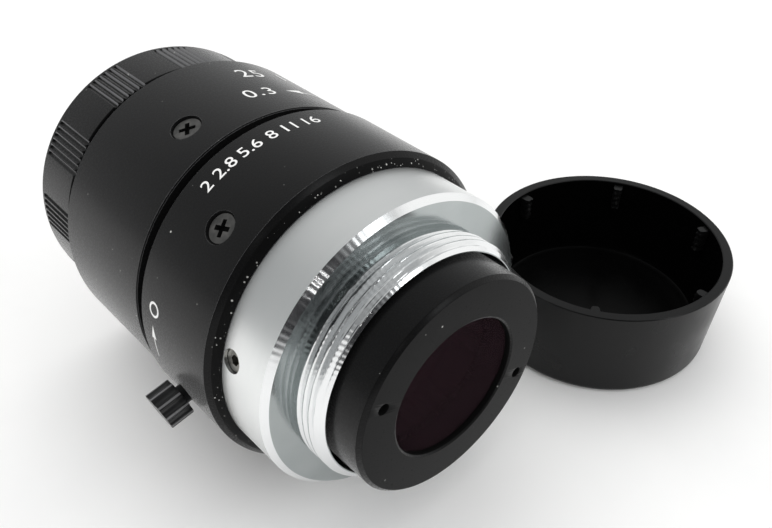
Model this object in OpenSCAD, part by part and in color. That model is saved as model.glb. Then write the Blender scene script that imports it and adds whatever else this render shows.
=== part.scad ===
// Machine vision lens with a C-mount, shown lying on its side with its rear cap taken off.
// The origin is the centre of the flange face. +X runs along the optical axis towards the camera,
// +Z is up, and every ring is turned about the X axis. The mount thread is a standard size, so the
// diameters of all other pieces are built up from it by walls and steps.

/* [Mount barrel] */
// Major diameter of the mount thread
thread_d = 25.4; // [25.2:0.1:25.6]
// Length of the mount thread from the flange face
thread_l = 3.35; // [3:0.05:4]
// Radial drop of the chamfer at the end of the thread
thread_chamfer_r = 0.7; // [0.3:0.05:0.75]
// Length of the chamfer at the end of the thread
thread_chamfer_l = 0.6; // [0.3:0.05:0.8]
// Wall of the mount thread round the rear cell
thread_wall = 0.8; // [0.75:0.05:1]
// Step from the mount thread out to the mount barrel
mount_step = 3; // [2.7:0.05:3.3]
// Length of the mount barrel in front of the flange face
mount_l = 7.5; // [7:0.1:8.5]
// Wall of the mount barrel round the main barrel
mount_wall = 1; // [0.8:0.05:1.15]
// Thickness of the web behind the flange face
mount_web = 1.6; // [1.2:0.1:2]
// Bevel between the barrel and the flange face
flange_bevel = 0.55; // [0.2:0.05:0.8]
// Angle of the first set screw, from the top towards the near side
set_screw_angle = 71.4; // [60:1:80]
// Distance from the front end of the mount barrel to the set screws
set_screw_in = 2.7; // [2.4:0.1:3.2]
// Diameter of a set screw
set_screw_d = 2.1; // [1.6:0.1:2.3]
// Length of a set screw
set_screw_l = 1.3; // [1:0.1:1.5]
// Depth of a set screw below the barrel's surface
set_screw_drop = 0.35; // [0.1:0.05:0.5]
// Width across flats of a set screw's socket
set_screw_socket = 0.9; // [0.7:0.1:1]

/* [Main barrel] */
// Wall of the main barrel under the rings
main_wall = 1.95; // [1.7:0.05:2.2]
// Height of the collar between the two rings
collar_h = 1; // [0.6:0.05:1.2]
// Thickness of the collar between the two rings
collar_w = 0.9; // [0.6:0.1:1]
// Depth of the arc slots that hold the focus barrel
arc_slot_depth = 1; // [0.8:0.1:1.3]
// Distance from the focus barrel's rear edge to the guide pin
guide_pin_in = 1.6; // [1.4:0.1:2]
// Diameter of the guide pin
guide_pin_d = 2; // [1.6:0.1:2.2]
// Depth of the guide slot in the lens barrel
guide_slot_depth = 0.7; // [0.5:0.05:0.9]

/* [Iris ring] */
// Step from the mount barrel up to the iris ring, which is the widest part
iris_ring_step = 1.25; // [1:0.05:1.5]
// Wall of the iris ring round the main barrel
iris_ring_wall = 1.9; // [1.7:0.05:2.1]
// Overlap of the iris ring over the mount barrel
iris_overlap = 0.63; // [0.4:0.05:0.9]
// Length of the iris ring from its rear edge forward
iris_ring_l = 10.4; // [10:0.1:10.8]
// Length of the bevel behind the rear edge of the iris ring
iris_bevel_l = 0.87; // [0.5:0.05:1.1]
// Angle of the iris ring's screw from the top
iris_screw_angle = 38.5; // [30:1:50]
// Distance from the iris ring's rear edge to its screw
iris_screw_in = 3.93; // [3.8:0.1:4.3]
// Angle of the iris ring's lock screw from the top
iris_lock_angle = 102; // [95:1:110]
// Distance from the iris ring's rear edge to its lock screw
iris_lock_in = 5.53; // [4.8:0.1:6.5]
// Turn of the iris ring from closed to open
iris_turn = 50; // [40:1:50]

/* [Focus barrel] */
// Step from the iris ring down to the focus barrel
focus_step = 0.3; // [0.1:0.05:0.6]
// Groove between the iris ring and the focus barrel, in which the collar stands
ring_groove = 1.44; // [1.2:0.02:1.6]
// Length of the focus barrel
focus_l = 14.1; // [13.6:0.1:14.6]
// Turn of the focus barrel over its whole range
focus_turn = 100; // [80:1:100]
// Travel of the optical unit in one full turn of the focus barrel
helicoid_lead = 6; // [4:0.5:6]
// Length of the focus barrel's inner thread
helicoid_l = 2.8; // [2.4:0.1:3]
// Angle of the first focus barrel screw from the top
focus_screw_angle = 20.2; // [15:1:25]
// Distance from the focus barrel's rear edge to its screws
focus_screw_in = 4.6; // [4.3:0.1:5]
// Angle of the focus lock screw from the top
focus_lock_angle = -125; // [-130:1:-120]
// Distance from the focus barrel's screws to its lock screw
focus_lock_in = 2.1; // [2.1:0.1:2.5]

/* [Grip ring] */
// Step from the focus barrel down to the ribbed grip ring
grip_step = 1.05; // [0.8:0.05:1.3]
// Length of the grip ring in front of the gap
grip_l = 7.9; // [7.4:0.1:8.4]
// Gap between the grip ring and the focus barrel
grip_gap = 0.5; // [0.3:0.1:0.8]
// Wall of the grip ring
grip_wall = 0.85; // [0.75:0.05:1]
// Length of the spigot that enters the focus barrel
spigot_l = 1.81; // [1.5:0.05:2.1]
// Wall of the spigot that enters the focus barrel
spigot_wall = 0.5; // [0.4:0.05:0.6]
// Number of rib groups round the ring
rib_groups = 12; // [10:1:14]
// Number of grooves in one group
rib_grooves = 6; // [4:1:6]
// Angle between two grooves of a group
rib_pitch = 2.5; // [2:0.05:2.6]
// Width of one groove
rib_groove_w = 0.48; // [0.3:0.02:0.5]
// Depth of one groove
rib_groove_depth = 0.2; // [0.15:0.01:0.24]
// Angle of the middle of the first group
rib_phase = 21; // [15:1:30]

/* [Screws] */
// Diameter of a cross-head screw's head
head_d = 2.86; // [2.4:0.02:2.9]
// Thickness of a cross-head screw's head
head_t = 0.8; // [0.6:0.05:0.85]
// Depth of a screw head below the ring's surface
head_drop = 0.25; // [0.05:0.05:0.3]
// Diameter of a screw's threaded shank
shank_d = 1.6; // [1.4:0.05:1.8]
// Diameter of the iris screw's driving tip
drive_tip_d = 1.2; // [1:0.05:1.4]
// Width of a cross recess's arm
cross_w = 0.52; // [0.4:0.02:0.6]
// Length of the cross recess from end to end
cross_l = 1.9; // [1.5:0.05:2]
// Depth of the cross recess
cross_depth = 0.45; // [0.3:0.05:0.55]
// Diameter of a lock screw's ribbed head
lock_head_d = 3.9; // [3.5:0.1:4.3]
// Length of a lock screw's head
lock_head_l = 2.4; // [2:0.1:3]
// Height of a lock screw's head above the ring
lock_head_gap = 0.55; // [0.3:0.05:0.8]
// Diameter of a lock screw's shank
lock_shank_d = 1.9; // [1.6:0.1:2.1]
// Number of flutes round a lock screw's head
lock_flutes = 10; // [8:1:12]

/* [Optical unit] */
// Room between the optical unit's front and the grip ring's bore
barrel_room = 0.45; // [0.3:0.05:0.6]
// Distance from the grip ring's front edge back to the optical unit's front rim
grip_recess = 1.7; // [1.7:0.05:2.2]
// Wall round the filter thread
filter_wall = 0.8; // [0.7:0.05:1]
// Length of the filter thread
filter_l = 2.3; // [2:0.1:2.5]
// Wall of the lens barrel round the iris
barrel_wall = 1.6; // [1.45:0.05:1.8]
// Gap between the rear cell and the mount thread's bore
cell_room = 0.43; // [0.2:0.01:0.6]
// Wall of the rear cell round the glass
cell_wall = 2.32; // [2:0.02:2.6]
// Distance from the flange face to the rear cell's end face
rear_cell_x = 7; // [6.5:0.1:7.5]
// Chamfer round the rear cell's end face
rear_chamfer = 0.4; // [0.2:0.05:0.6]
// Width of the lip that holds the rear lens
rear_lip_w = 1.89; // [1.5:0.02:2.1]
// Thickness of the lip that holds the rear lens
rear_lip_t = 0.7; // [0.65:0.05:1]
// Distance from the rear cell's side in to the two spanner holes
spanner_in = 1.97; // [1.8:0.01:2.2]
// Diameter of a spanner hole
spanner_hole_d = 1.15; // [1:0.05:1.3]
// Depth of a spanner hole
spanner_hole_depth = 0.5; // [0.4:0.05:0.55]
// Angle of the first spanner hole from the top
spanner_angle = 65.4; // [60:1:70]

/* [Iris] */
// Distance from the iris screw forward to the iris base
iris_base_in = 5.2; // [5:0.1:5.4]
// Radius of the fully open aperture
open_r = 5.3; // [5:0.1:5.5]
// Radius of the smallest aperture
closed_r = 1.2; // [1:0.1:2]
// Distance from the cam ring's rim in to the blade pivots
pivot_in = 0.95; // [0.9:0.05:1]
// Angle from a blade's pivot to its guide pin
guide_angle = 20; // [18:1:22]
// Angle from a blade's pivot to its tip
blade_sweep = 122; // [118:1:124]
// Distance from the blade pivots in to the blades' outer edge
blade_in = 0.7; // [0.6:0.05:1]
// Thickness of a blade
blade_t = 0.1; // [0.06:0.01:0.12]
// Distance from one blade's level to the next
blade_pitch = 0.16; // [0.14:0.01:0.18]
// Diameter of a blade's pins
blade_pin_d = 0.8; // [0.7:0.05:0.85]

/* [Rear cap] */
// Room between the mount thread and the cap's rim, which the gripping ribs take up
cap_room = 1.34; // [1.1:0.02:1.6]
// Wall of the cap
cap_wall = 1.23; // [1:0.05:1.4]
// Difference in radius between the cap's rim and its closed end
cap_draft = 0.47; // [0.2:0.02:0.6]
// Height of the cap
cap_h = 12.24; // [11.5:0.1:13]
// Radius of the edge at the cap's closed end
cap_edge_r = 0.9; // [0.5:0.1:1.2]
// Number of gripping ribs inside the rim
cap_ribs = 6; // [4:1:8]
// Height of a gripping rib
cap_rib_h = 3; // [2:0.1:4]
// Width of a gripping rib
cap_rib_w = 1.1; // [0.8:0.1:1.4]
// Gap on the table between the lens and the cap
cap_gap = 3.08; // [2.5:0.1:6]
// Distance of the cap's middle from the flange face, towards the front
cap_x = 0.7; // [0:0.1:3]

/* [Hidden] */
$fn = 96;

// Clearances: pieces that move on each other, pieces that are fixed, and thin gaps between faces
run = 0.05;
seat = 0.02;
face_gap = 0.05;
glass_gap = 0.03;
head_room = 0.12;
tip_room = 0.15;
blade_gap = 0.1;
window_spare = 4;
cut = 0.5;
edge = 0.25;
ring_edge = 0.12;
flute_r = 0.45;
arc_steps = 12;
third_turn = 120;
blade_count = 6;
guide_pin_angle = 180;

// Radii, from the mount thread outwards, and then inwards to the optical unit
thread_r = thread_d / 2;
mount_bore_r = thread_r - thread_wall;
mount_r = thread_r + mount_step;
rear_seat_r = mount_r - mount_wall - seat;
iris_ring_r = mount_r + iris_ring_step;
ring_bore_r = iris_ring_r - iris_ring_wall;
journal_r = ring_bore_r - run;
collar_r = journal_r + collar_h;
focus_r = iris_ring_r - focus_step;
grip_r = focus_r - grip_step;
grip_bore_r = grip_r - grip_wall;
spigot_r = grip_bore_r + spigot_wall;
barrel_front_r = grip_bore_r - barrel_room;
guide_bore_r = journal_r - main_wall;
barrel_rear_r = guide_bore_r - run;
rest_r = max(iris_ring_r, focus_r);

// Distances in front of the flange face, from the mount barrel forwards
set_screw_x = mount_l - set_screw_in;
iris_ring_x = mount_l - iris_overlap;
iris_screw_x = iris_ring_x + iris_screw_in;
iris_lock_x = iris_ring_x + iris_lock_in;
iris_front_x = iris_ring_x + iris_ring_l;
collar_x = iris_front_x + face_gap;
focus_x = iris_front_x + ring_groove;
guide_pin_x = focus_x + guide_pin_in;
focus_screw_x = focus_x + focus_screw_in;
focus_lock_x = focus_screw_x + focus_lock_in;
focus_front_x = focus_x + focus_l;
spigot_x = focus_front_x - spigot_l;
main_l = spigot_x - helicoid_l - 2 * face_gap;
grip_rear_x = focus_front_x + grip_gap;
grip_front_x = grip_rear_x + grip_l;

// The optical unit slides forward by this much over the whole turn of the focus barrel
focus_travel = helicoid_lead * focus_turn / 360;
barrel_front_x = grip_front_x - grip_recess;
step_x = main_l + 2 * face_gap;
filter_r = barrel_front_r - filter_wall;
filter_step = 1.15;
bore_step = 0.95;
front_bore_r = filter_r - filter_step;
mid_bore_r = min(barrel_rear_r - barrel_wall, front_bore_r - bore_step / 2);
rib_bore_r = mid_bore_r - bore_step;
filter_end_x = barrel_front_x - filter_l;
front_group_l = 6.47;
front_seat_x = filter_end_x - front_group_l;
iris_x = iris_screw_x + iris_base_in;
rib_l = 6.94;
second_seat_x = iris_x + rib_l;
rear_cell_r = mount_bore_r - cell_room;
collar_step = 0.53;
cell_collar_r = rear_cell_r + collar_step;
cell_bore_r = rear_cell_r - cell_wall;
rear_opening_r = cell_bore_r - rear_lip_w;
cell_front_x = mount_l;
collar_l = 3;
barrel_rear_x = cell_front_x - collar_l;
lip_x = rear_cell_x - rear_lip_t;

// The iris, from the lens barrel's bore inwards and from its base towards the rear
pin_r = blade_pin_d / 2;
base_t = 0.8;
cam_t = 0.8;
rim_wall = 0.35;
base_r = mid_bore_r - run;
cam_r = base_r - rim_wall - run;
pivot_r = cam_r - pivot_in;
blade_outer_r = pivot_r - blade_in;
root_r = pivot_r + 0.5;
root_end = 50;
root_start = -5;
opening_r = open_r - blade_gap;
cam_step = 0.4;
blade_turn = 2 * asin((open_r - closed_r) / (2 * pivot_r));
blades_x = iris_x - base_t - blade_gap;
cam_x = blades_x - blade_pitch * (blade_count - 1) - blade_t - blade_gap;
snap_x = cam_x - cam_t - face_gap;
snap_t = 0.65;
skirt_r = cam_r - 0.55;
skirt_wall = 0.8;
skirt_end_x = iris_screw_x - focus_travel - drive_tip_d / 2 - tip_room;
window_half = drive_tip_d / 2 + 2 * run;

// Points on an arc about the axis, and the depth of a spherical surface at a radius
function arc(r, a0, a1, n = arc_steps) =
    [for (i = [0:n]) let (a = a0 + (a1 - a0) * i / n) [r * cos(a), r * sin(a)]];
function sag(radius, r) =
    radius == 0 ? 0 : sign(radius) * (abs(radius) - sqrt(radius * radius - r * r));

// The lens axis is modelled along Z, and this lays it along X with the angle 0 at the top
module lay_down() rotate([0, 90, 0]) rotate([0, 0, 180]) children();

// Turns a closed outline of [radius, distance in front of the flange] about the lens axis
module turned(outline) rotate_extrude() polygon([for (p = outline) [p[0], -p[1]]]);

// Puts something that points outwards at an angle round the axis, x in front of the flange
module outward(angle, x) rotate([0, 0, angle]) translate([0, 0, -x]) rotate([0, 90, 0]) children();

// A slot between two radii, in which a pin of radius half can go round from one angle to the other
module arc_slot(r0, r1, x, half, a0, a1) {
    room = asin(half / r0);
    rotate([0, 0, a0 - room]) rotate_extrude(angle = a1 - a0 + 2 * room)
        translate([r0, -x - half]) square([r1 - r0, 2 * half]);
}

// A screw head with a cross recess, its shank below it, its top at radius top
module cross_head_screw(top, shank_r, shank_end) {
    difference() {
        union() {
            translate([0, 0, top - head_t]) cylinder(d = head_d, h = head_t, $fn = 48);
            translate([0, 0, shank_end]) cylinder(r = shank_r, h = top - head_t - shank_end, $fn = 32);
        }
        for (a = [0, 90])
            rotate([0, 0, a + 45])
                translate([-cross_l / 2, -cross_w / 2, top - cross_depth])
                    cube([cross_l, cross_w, cross_depth + cut]);
    }
}

// The counterbore and the hole for a cross-head screw in a ring of outer radius r
module screw_seat(r) {
    translate([0, 0, r - head_drop - head_t - seat])
        cylinder(d = head_d + 2 * head_room, h = head_t + head_drop + cut, $fn = 48);
    translate([0, 0, journal_r - cut]) cylinder(d = shank_d + 2 * seat, h = r - journal_r + cut, $fn = 32);
}

// A thumb screw with a fluted head above a shank, in a ring of outer radius r
module thumb_screw(r) {
    base = r + lock_head_gap;
    difference() {
        rotate_extrude() polygon([
            [0, journal_r + run], [lock_shank_d / 2, journal_r + run], [lock_shank_d / 2, base],
            [lock_head_d / 2 - edge, base], [lock_head_d / 2, base + edge],
            [lock_head_d / 2, base + lock_head_l - edge],
            [lock_head_d / 2 - edge, base + lock_head_l], [0, base + lock_head_l]]);
        for (i = [0:lock_flutes - 1])
            rotate([0, 0, i * 360 / lock_flutes]) translate([lock_head_d / 2 + flute_r / 2, 0, base - cut])
                cylinder(r = flute_r, h = lock_head_l + 2 * cut, $fn = 16);
    }
}

// The hole for a thumb screw's shank
module thumb_hole(r)
    translate([0, 0, journal_r - cut])
        cylinder(d = lock_shank_d + 2 * run, h = r - journal_r + 2 * cut, $fn = 32);

// A lens element between two spherical surfaces, with a flat land outside the clear radius
module element(r, clear_r, x0, radius0, x1, radius1) {
    front = [for (i = [0:arc_steps]) let (q = clear_r * i / arc_steps) [q, x0 - sag(radius0, q)]];
    rear = [for (i = [arc_steps:-1:0]) let (q = clear_r * i / arc_steps) [q, x1 - sag(radius1, q)]];
    turned(concat(front, [[r, x0 - sag(radius0, clear_r)], [r, x1 - sag(radius1, clear_r)]], rear));
}

module mount_barrel() color("#c8ccce") lay_down() difference() {
    turned([
        [mount_bore_r, -thread_l], [thread_r - thread_chamfer_r, -thread_l],
        [thread_r, thread_chamfer_l - thread_l], [thread_r, 0],
        [mount_r - flange_bevel, 0], [mount_r, flange_bevel], [mount_r, mount_l],
        [mount_r - mount_wall, mount_l], [mount_r - mount_wall, mount_web], [mount_bore_r, mount_web]]);
    set_screw_places() cylinder(d = set_screw_d + 2 * run, h = mount_r + cut, $fn = 32);
}

module set_screw_places()
    for (i = [0:2]) outward(set_screw_angle + i * third_turn, set_screw_x) children();

module set_screws() color("#6f7275") lay_down() set_screw_places() difference() {
    translate([0, 0, mount_r - set_screw_drop - set_screw_l])
        cylinder(d = set_screw_d, h = set_screw_l, $fn = 32);
    translate([0, 0, mount_r - set_screw_drop - set_screw_l / 2])
        cylinder(d = set_screw_socket / cos(30), h = set_screw_l, $fn = 6);
}

module main_barrel() color("#1c1d1f") lay_down() difference() {
    turned([
        [guide_bore_r, mount_web], [rear_seat_r, mount_web], [rear_seat_r, mount_l],
        [journal_r, mount_l], [journal_r, collar_x], [collar_r, collar_x],
        [collar_r, collar_x + collar_w], [journal_r, collar_x + collar_w],
        [journal_r, main_l], [guide_bore_r, main_l]]);
    set_screw_places() translate([0, 0, mount_r - set_screw_drop - set_screw_l])
        cylinder(d = set_screw_d + 2 * run, h = set_screw_l, $fn = 32);
    // Three arc slots, in which the tips of the focus barrel's screws run
    for (i = [0:2]) {
        a = focus_screw_angle + i * third_turn;
        arc_slot(journal_r - arc_slot_depth, journal_r + cut, focus_screw_x,
            shank_d / 2 + run, a, a + focus_turn);
    }
    // One window, through which the iris screw drives the iris
    arc_slot(guide_bore_r - cut, journal_r + cut, iris_screw_x, window_half,
        iris_screw_angle - iris_turn, iris_screw_angle);
    outward(guide_pin_angle, guide_pin_x) cylinder(d = guide_pin_d + 2 * seat, h = journal_r + cut, $fn = 32);
}

module guide_pin() color("#8d9093") lay_down() outward(guide_pin_angle, guide_pin_x)
    translate([0, 0, barrel_rear_r - guide_slot_depth + run])
        cylinder(d = guide_pin_d, h = journal_r - barrel_rear_r + guide_slot_depth - 3 * run, $fn = 32);

cap_rim_r = thread_r + cap_room + cap_wall;
cap_base_r = cap_rim_r - cap_draft;
cap_y = rest_r + cap_gap + cap_rim_r;
cap_rib_drop = 0.4;

module rear_cap() color("#17181a") translate([-cap_x, cap_y, -rest_r]) {
    draft_r = cap_draft * cap_edge_r / cap_h;
    corner = [for (i = [0:6]) let (a = -90 + 15 * i)
        [cap_base_r + draft_r - cap_edge_r + cap_edge_r * cos(a), cap_edge_r + cap_edge_r * sin(a)]];
    rotate_extrude() polygon(concat([[0, 0]], corner, [
        [cap_rim_r, cap_h], [cap_rim_r - cap_wall, cap_h], [cap_base_r - cap_wall, cap_wall + cap_edge_r],
        [cap_base_r - cap_wall - cap_edge_r, cap_wall], [0, cap_wall]]));
    for (i = [0:cap_ribs - 1])
        rotate([0, 0, i * 360 / cap_ribs])
            intersection() {
                translate([thread_r, -cap_rib_w / 2, cap_h - cap_rib_h - cap_rib_drop])
                    cube([cap_room + cap_wall / 2, cap_rib_w, cap_rib_h]);
                cylinder(r1 = cap_base_r - cap_wall / 2, r2 = cap_rim_r - cap_wall / 2, h = cap_h);
            }
}

module iris_ring() color("#1c1d1f") lay_down() difference() {
    turned([
        [mount_r + run, iris_ring_x - iris_bevel_l], [iris_ring_r, iris_ring_x],
        [iris_ring_r, iris_front_x - ring_edge], [iris_ring_r - ring_edge, iris_front_x],
        [ring_bore_r, iris_front_x], [ring_bore_r, mount_l + face_gap], [mount_r + run, mount_l + face_gap]]);
    outward(iris_screw_angle, iris_screw_x) screw_seat(iris_ring_r);
    outward(iris_lock_angle, iris_lock_x) thumb_hole(iris_ring_r);
}

module iris_drive_screw() color("#2a2b2d") lay_down() outward(iris_screw_angle, iris_screw_x) union() {
    cross_head_screw(iris_ring_r - head_drop, shank_d / 2, ring_bore_r);
    translate([0, 0, skirt_r - skirt_wall + tip_room])
        cylinder(d = drive_tip_d, h = ring_bore_r - skirt_r + skirt_wall - tip_room + cut / 2, $fn = 32);
}

module iris_lock_screw() color("#141516") lay_down()
    outward(iris_lock_angle, iris_lock_x) thumb_screw(iris_ring_r);

module focus_screw_places()
    for (i = [0:2]) outward(focus_screw_angle + i * third_turn, focus_screw_x) children();

module focus_barrel() color("#1c1d1f") lay_down() difference() {
    turned([
        [ring_bore_r, focus_x], [focus_r - ring_edge, focus_x], [focus_r, focus_x + ring_edge],
        [focus_r, focus_front_x - edge], [focus_r - edge, focus_front_x],
        [spigot_r + seat, focus_front_x], [spigot_r + seat, spigot_x],
        [barrel_front_r + run, spigot_x], [barrel_front_r + run, main_l + 2 * face_gap],
        [ring_bore_r, main_l + 2 * face_gap]]);
    focus_screw_places() screw_seat(focus_r);
    outward(focus_lock_angle, focus_lock_x) thumb_hole(focus_r);
}

// The V section of a groove, drawn on above the ring's surface
groove_top = rib_groove_depth + cut;
groove_half = rib_groove_w / 2 * groove_top / rib_groove_depth;

module grip_ring() color("#222325") lay_down() difference() {
    turned([
        [grip_bore_r, spigot_x], [spigot_r, spigot_x],
        [spigot_r, grip_rear_x], [grip_r, grip_rear_x], [grip_r, grip_front_x - edge],
        [grip_r - edge, grip_front_x], [grip_bore_r + edge, grip_front_x],
        [grip_bore_r, grip_front_x - edge]]);
    for (g = [0:rib_groups - 1], i = [0:rib_grooves - 1])
        rotate([0, 0, rib_phase + g * 360 / rib_groups + (i - (rib_grooves - 1) / 2) * rib_pitch])
            translate([grip_r - rib_groove_depth, 0, -grip_front_x - cut])
                linear_extrude(grip_l + cut)
                    polygon([[0, 0], [groove_top, groove_half], [groove_top, -groove_half]]);
}

module focus_barrel_screws() color("#2a2b2d") lay_down() focus_screw_places()
    cross_head_screw(focus_r - head_drop, shank_d / 2, journal_r - arc_slot_depth + 2 * run);

module focus_lock_screw() color("#141516") lay_down()
    outward(focus_lock_angle, focus_lock_x) thumb_screw(focus_r);

module lens_barrel() color("#1c1d1f") lay_down() difference() {
    turned([
        [cell_collar_r, barrel_rear_x], [barrel_rear_r, barrel_rear_x], [barrel_rear_r, step_x],
        [barrel_front_r, step_x], [barrel_front_r, barrel_front_x], [filter_r, barrel_front_x],
        [filter_r, filter_end_x], [front_bore_r, filter_end_x], [front_bore_r, front_seat_x],
        [mid_bore_r, front_seat_x], [mid_bore_r, second_seat_x], [rib_bore_r, second_seat_x],
        [rib_bore_r, iris_x], [mid_bore_r, iris_x], [mid_bore_r, cell_front_x],
        [cell_collar_r, cell_front_x]]);
    // The guide slot, which leaves the unit its travel and stops it turning
    for (x = [guide_pin_x, guide_pin_x - focus_travel])
        outward(guide_pin_angle, x) translate([0, 0, barrel_rear_r - guide_slot_depth])
            cylinder(d = guide_pin_d + 2 * run, h = guide_slot_depth + cut, $fn = 32);
    rotate([0, 0, guide_pin_angle])
        translate([barrel_rear_r - guide_slot_depth, -guide_pin_d / 2 - run, -guide_pin_x])
            cube([guide_slot_depth + cut, guide_pin_d + 2 * run, focus_travel]);
    // The window for the iris screw, as long as the unit's travel
    rotate([0, 0, iris_screw_angle - iris_turn - window_spare])
        rotate_extrude(angle = iris_turn + 2 * window_spare)
        translate([mid_bore_r - cut, -iris_screw_x - window_half])
            square([barrel_rear_r - mid_bore_r + 2 * cut, 2 * window_half + focus_travel]);
}

// The elements: where their surfaces stand, and their radii of curvature
front_vertex_x = filter_end_x - 0.2;
spacer_w = 0.8;
front_lens_r = front_bore_r - glass_gap;
second_lens_r = mid_bore_r - glass_gap;
front_r0 = 28;
front_r1 = 60;
second_r0 = 22;
second_r1 = 12;
second_land = 3.37;
second_clear_r = second_lens_r - second_land;
rear_lens_r = cell_bore_r - glass_gap;
front_rear_vertex_x = front_seat_x + sag(front_r1, front_lens_r);
second_rear_vertex_x = second_seat_x + sag(second_r1, second_clear_r);
air_gap = 0.81;
second_vertex_x = front_rear_vertex_x - air_gap;
ring_t = 1.15;
ring_w = 1.05;

module front_lens() color("#4a3b52") lay_down()
    element(front_lens_r, front_lens_r, front_vertex_x, front_r0, front_rear_vertex_x, front_r1);

module front_retaining_ring() color("#1c1d1f") lay_down() {
    x1 = front_vertex_x - sag(front_r0, front_lens_r - ring_w);
    turned([
        [front_lens_r - ring_w, x1], [front_lens_r - ring_w, x1 + ring_t], [front_lens_r, x1 + ring_t],
        [front_lens_r, front_vertex_x - sag(front_r0, front_lens_r)]]);
}

module second_lens() color("#4a3b52") lay_down() {
    front = [for (i = [0:arc_steps]) let (q = second_lens_r * i / arc_steps)
        [q, second_vertex_x - sag(second_r0, q)]];
    rear = [for (i = [arc_steps:-1:0]) let (q = second_clear_r * i / arc_steps)
        [q, second_rear_vertex_x - sag(second_r1, q)]];
    turned(concat(front, [[second_lens_r, second_seat_x]], rear));
}

module front_spacer() color("#1c1d1f") lay_down() {
    r0 = second_lens_r - spacer_w;
    turned([
        [r0, second_vertex_x - sag(second_r0, r0)],
        [r0, front_rear_vertex_x - sag(front_r1, r0)],
        [second_lens_r, front_rear_vertex_x - sag(front_r1, second_lens_r)],
        [second_lens_r, second_vertex_x - sag(second_r0, second_lens_r)]]);
}

module blade_places()
    for (i = [0:blade_count - 1]) rotate([0, 0, i * 360 / blade_count]) translate([pivot_r, 0, 0]) children();

module iris_base() color("#2b2c2e") lay_down() difference() {
    turned([
        [opening_r, iris_x], [base_r, iris_x], [base_r, snap_x - snap_t],
        [base_r - rim_wall, snap_x - snap_t], [base_r - rim_wall, iris_x - base_t],
        [opening_r, iris_x - base_t]]);
    blade_places() translate([0, 0, -iris_x - cut]) cylinder(r = pin_r + run, h = base_t + 2 * cut, $fn = 24);
}

// One blade, its level counted from the base, closed by the blade's turn about its pivot
module iris_blade(level) color("#3a3b3d") lay_down() {
    x = blades_x - blade_pitch * (level - 1);
    guide = pivot_r * [cos(guide_angle) - 1, sin(guide_angle)];
    rotate([0, 0, (level - 1) * 360 / blade_count]) translate([pivot_r, 0, -x]) rotate([0, 0, blade_turn]) {
        translate([-pivot_r, 0, 0]) linear_extrude(blade_t) polygon(concat(
            arc(root_r, root_start, root_end), arc(blade_outer_r, root_end + 2, blade_sweep),
            arc(open_r, blade_sweep, root_start, 2 * arc_steps)));
        translate([0, 0, x - iris_x + blade_gap])
            cylinder(r = pin_r, h = iris_x - x - blade_gap + blade_t, $fn = 24);
        translate([guide[0], guide[1], 0])
            cylinder(r = pin_r, h = x - cam_x + cam_t - blade_gap, $fn = 24);
    }
}

// Where a blade's guide pin is after a share s of the closing turn, seen from the closed cam ring
function guide_at(s) =
    let (a = s * blade_turn, v = pivot_r * [cos(guide_angle) - 1, sin(guide_angle)],
        p = [pivot_r + v[0] * cos(a) - v[1] * sin(a), v[0] * sin(a) + v[1] * cos(a)], b = (1 - s) * iris_turn)
    [p[0] * cos(b) - p[1] * sin(b), p[0] * sin(b) + p[1] * cos(b)];

// The cam slot is the path of the guide pin with room on both sides
module cam_slot() {
    steps = 16;
    half = pin_r + run;
    path = [for (i = [0:steps]) guide_at(i / steps)];
    heading = [for (i = [0:steps]) let (d = path[min(i + 1, steps)] - path[max(i - 1, 0)]) d / norm(d)];
    linear_extrude(cam_t + 2 * cut) union() {
        polygon(concat(
            [for (i = [0:steps]) path[i] + half * [-heading[i][1], heading[i][0]]],
            [for (i = [steps:-1:0]) path[i] - half * [-heading[i][1], heading[i][0]]]));
        for (p = [path[0], path[steps]]) translate(p) circle(r = half, $fn = 24);
    }
}

module iris_cam_ring() color("#44464a") lay_down() difference() {
    turned([
        [opening_r + cam_step, cam_x], [cam_r, cam_x], [cam_r, cam_x - cam_t], [skirt_r, cam_x - cam_t],
        [skirt_r, skirt_end_x], [skirt_r - skirt_wall, skirt_end_x],
        [skirt_r - skirt_wall, cam_x - cam_t], [opening_r + cam_step, cam_x - cam_t]]);
    for (i = [0:blade_count - 1])
        rotate([0, 0, i * 360 / blade_count]) translate([0, 0, -cam_x - cut]) cam_slot();
    // The fork that the iris screw's tip drives, open towards the rear
    outward(iris_screw_angle, iris_screw_x) translate([0, 0, skirt_r - skirt_wall - cut])
        cylinder(d = drive_tip_d + 2 * run, h = skirt_wall + 2 * cut, $fn = 32);
    rotate([0, 0, iris_screw_angle])
        translate([skirt_r - skirt_wall - cut, -drive_tip_d / 2 - run, -iris_screw_x])
            cube([skirt_wall + 2 * cut, drive_tip_d + 2 * run, iris_screw_x - skirt_end_x + cut]);
}

module iris_snap_ring() color("#8d9093") lay_down() turned([
    [skirt_r + run, snap_x], [base_r - rim_wall - seat, snap_x],
    [base_r - rim_wall - seat, snap_x - snap_t], [skirt_r + run, snap_x - snap_t]]);

module rear_cell() color("#1c1d1f") lay_down() difference() {
    turned([
        [cell_bore_r, cell_front_x], [cell_collar_r - seat, cell_front_x],
        [cell_collar_r - seat, barrel_rear_x], [rear_cell_r, barrel_rear_x],
        [rear_cell_r, rear_chamfer - rear_cell_x], [rear_cell_r - rear_chamfer, -rear_cell_x],
        [rear_opening_r, -rear_cell_x], [rear_opening_r, -lip_x], [cell_bore_r, -lip_x]]);
    for (i = [0:1]) rotate([0, 0, spanner_angle + 180 * i])
        translate([rear_cell_r - spanner_in, 0, rear_cell_x - spanner_hole_depth])
            cylinder(d = spanner_hole_d, h = spanner_hole_depth + cut, $fn = 32);
}

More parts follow.
